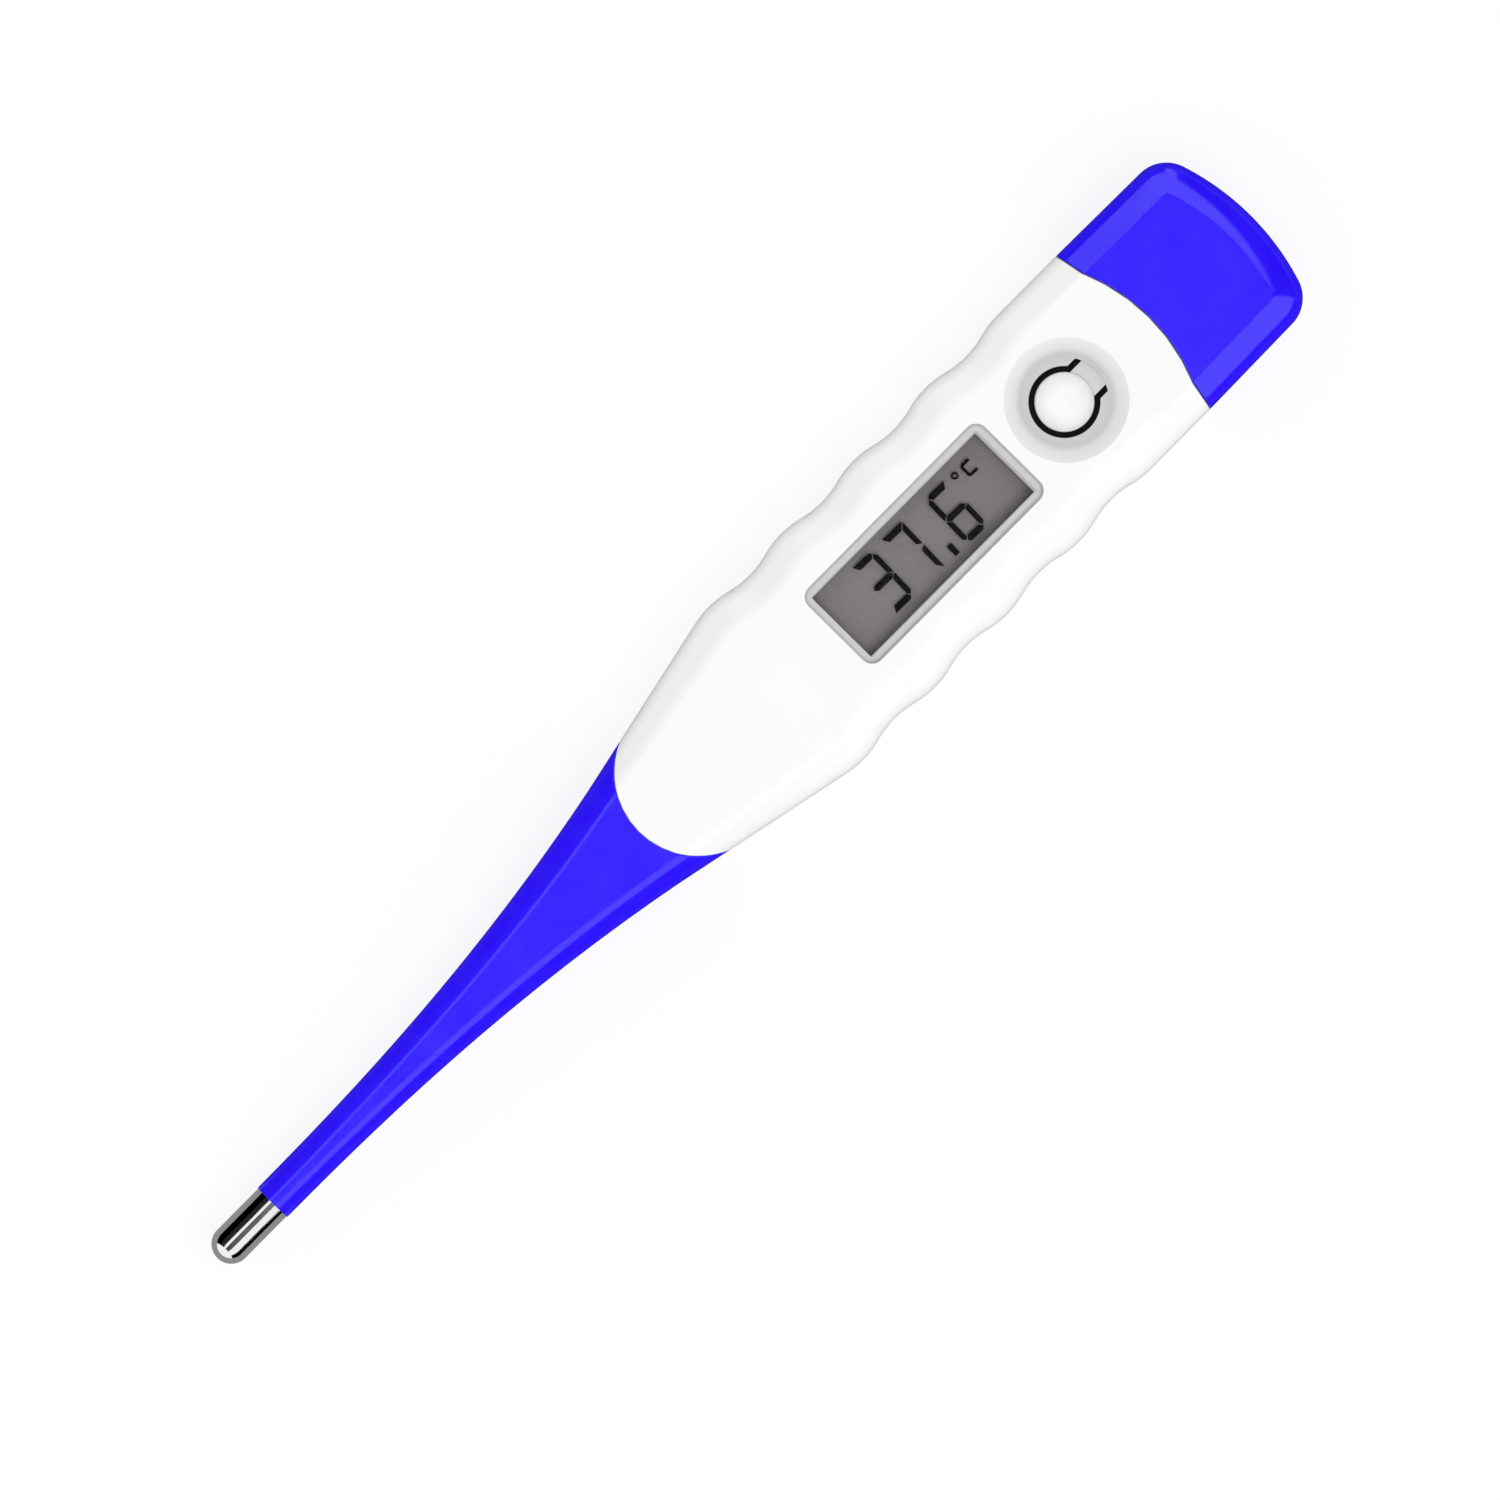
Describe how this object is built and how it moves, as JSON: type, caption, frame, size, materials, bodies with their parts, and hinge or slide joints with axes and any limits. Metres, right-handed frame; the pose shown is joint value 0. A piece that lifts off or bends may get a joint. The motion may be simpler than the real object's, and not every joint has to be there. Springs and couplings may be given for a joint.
{
  "type": "digital thermometer",
  "caption": "Pen-shaped digital thermometer with a steel sensor tip, a flexible rubber stem, a gripped housing with display and key, and a pull-off battery cover.",
  "frame": {"origin": "under the middle of the length, on the flat back", "axes": "+X towards the battery cover, the steel tip points to -X, the display faces +Z and reads along +X"},
  "size_m": [0.1324, 0.0196, 0.011],
  "materials": {
    "stainless_steel": "bright drawn stainless steel",
    "bead_glass": "glass-coated bead",
    "epoxy": "filled epoxy",
    "natural_plastic": "natural ABS, fine matt",
    "blue_rubber": "satin thermoplastic rubber",
    "blue_plastic": "satin blue ABS",
    "wire_enamel": "enamelled copper",
    "white_plastic": "white ABS, soft gloss",
    "window_clear": "clear acrylic",
    "adhesive_grey": "pale grey adhesive frame",
    "polarizer_film": "neutral film",
    "display_glass": "clear glass",
    "reflector_film": "grey reflector",
    "zebra_elastomer": "striped silicone",
    "board_green": "solder mask",
    "chip_resin": "black resin",
    "ceramic_chips": "chip components",
    "brass_sheet": "rolled brass",
    "piezo_ceramic": "silvered ceramic",
    "contact_metal": "nickel-plated bronze",
    "black_silicone": "moulded silicone",
    "carbon_rubber": "carbon-filled silicone",
    "battery_steel": "nickel-plated steel",
    "cell_seal": "nylon seal"
  },
  "bodies": {
    "housing": {"stem_collar": "natural_plastic", "front_shell": "white_plastic", "rear_shell": "white_plastic", "display_window": "window_clear", "window_gasket": "adhesive_grey", "front_polarizer": "polarizer_film", "lcd_front_glass": "display_glass", "lcd_rear_glass": "display_glass", "rear_polarizer": "reflector_film", "zebra_connector": "zebra_elastomer", "display_bracket": "natural_plastic", "circuit_board": "board_green", "controller_chip": "chip_resin", "smd_components": "ceramic_chips", "buzzer_disc": "brass_sheet", "buzzer_ceramic": "piezo_ceramic", "buzzer_contacts": "contact_metal", "button_membrane": "black_silicone", "inner_frame": "natural_plastic", "cover_seal": "black_silicone", "battery_contact_positive": "contact_metal", "battery_contact_negative": "contact_metal", "battery_can": "battery_steel", "battery_lid": "battery_steel", "battery_seal": "cell_seal"},
    "key": {"power_button": "white_plastic", "contact_pill": "carbon_rubber"},
    "stem": {"flexible_stem": "blue_rubber", "lead_wires": "wire_enamel"},
    "sensor": {"steel_tip": "stainless_steel", "thermistor": "bead_glass", "thermal_potting": "epoxy", "tip_ferrule": "natural_plastic"},
    "cover": {"battery_cover": "blue_plastic"}
  },
  "joints": [
    {"name": "button_press", "type": "hinge", "parent": "housing", "child": "key", "pos_m": [0.04615, 0, 0.0098], "axis": [0, -1, 0], "range_deg": [0, 5], "stiffness_Nm_per_rad": 0.08, "deforming": ["button_membrane"]},
    {"name": "cover_pull", "type": "slide", "parent": "housing", "child": "cover", "axis": [1, 0, 0], "range_m": [0, 0.016]},
    {"name": "stem_bend_side", "type": "hinge", "parent": "housing", "child": "stem", "pos_m": [-0.02625, 0, 0.0055], "axis": [0, 0, 1], "range_deg": [-20, 20], "stiffness_Nm_per_rad": 0.06, "deforming": ["flexible_stem", "lead_wires"]},
    {"name": "stem_bend_up", "type": "hinge", "parent": "stem", "child": "sensor", "pos_m": [-0.04825, 0, 0.0055], "axis": [0, 1, 0], "range_deg": [-15, 15], "stiffness_Nm_per_rad": 0.03, "deforming": ["flexible_stem", "lead_wires"]}
  ]
}
